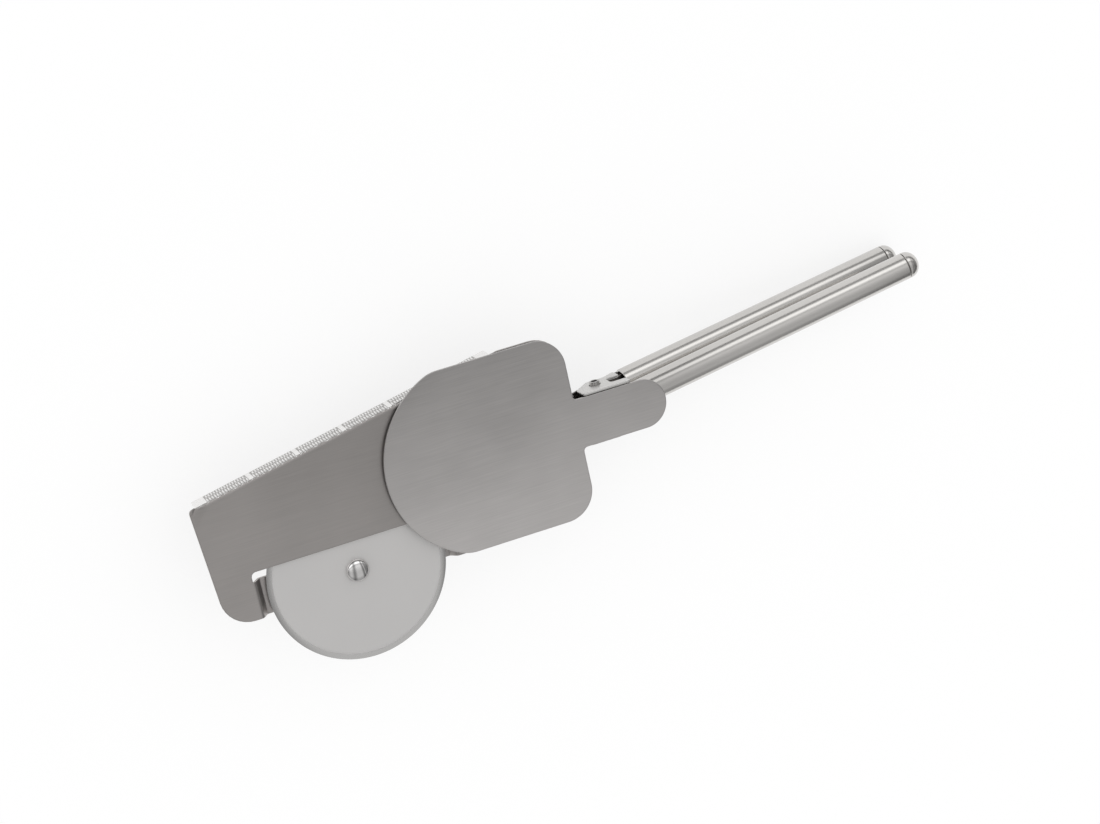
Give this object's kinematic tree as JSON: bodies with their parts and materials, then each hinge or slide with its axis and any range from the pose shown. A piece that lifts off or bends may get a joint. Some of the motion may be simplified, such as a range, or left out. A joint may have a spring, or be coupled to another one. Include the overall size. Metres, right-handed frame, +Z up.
{
  "type": "pizza cutter",
  "caption": "Steel pizza cutter tongs: long plate with a cutting wheel and grater edge, a rounded server jaw on a sprung pivot, and tube handles that open the jaw when squeezed.",
  "frame": {"origin": "middle of the underside of the whole part as it lies flat, under the middle of its box", "axes": "+X along the tool towards the handle ends, +Y across the plates towards the grater edge, +Z up, towards the server jaw's outer face"},
  "size_m": [0.3056, 0.1014, 0.0392],
  "materials": {
    "plate_steel": "satin",
    "server_steel": "brushed",
    "bracket_steel": "satin",
    "wheel_steel": "smooth, ground rim",
    "polished_steel": "polished",
    "tube_steel": "satin polished",
    "spring_steel": "drawn wire"
  },
  "bodies": {
    "cutter_arm": {"cutter_plate": "plate_steel", "rear_bracket": "bracket_steel", "rear_handle_tube": "tube_steel", "rear_handle_cap": "tube_steel", "wheel_rivet": "polished_steel", "wheel_washer": "bracket_steel", "pivot_pin": "polished_steel", "pivot_sleeve": "bracket_steel", "pivot_spring": "spring_steel"},
    "server_arm": {"server_paddle": "server_steel", "front_tongue": "bracket_steel", "front_handle_tube": "tube_steel", "front_handle_cap": "tube_steel"},
    "wheel": {"cutting_wheel": "wheel_steel"}
  },
  "joints": [
    {"name": "jaw_hinge", "type": "hinge", "parent": "cutter_arm", "child": "server_arm", "pos_m": [0.01138, 0.01425, 0.02617], "axis": [0, 1, 0], "range_deg": [0, 7], "stiffness_Nm_per_rad": 1.2, "springref_deg": -20.05, "deforming": ["pivot_spring"]},
    {"name": "wheel_spin", "type": "hinge", "parent": "cutter_arm", "child": "wheel", "pos_m": [-0.09662, -0.01565, 0.02987], "axis": [0, 0, 1], "continuous": true}
  ]
}
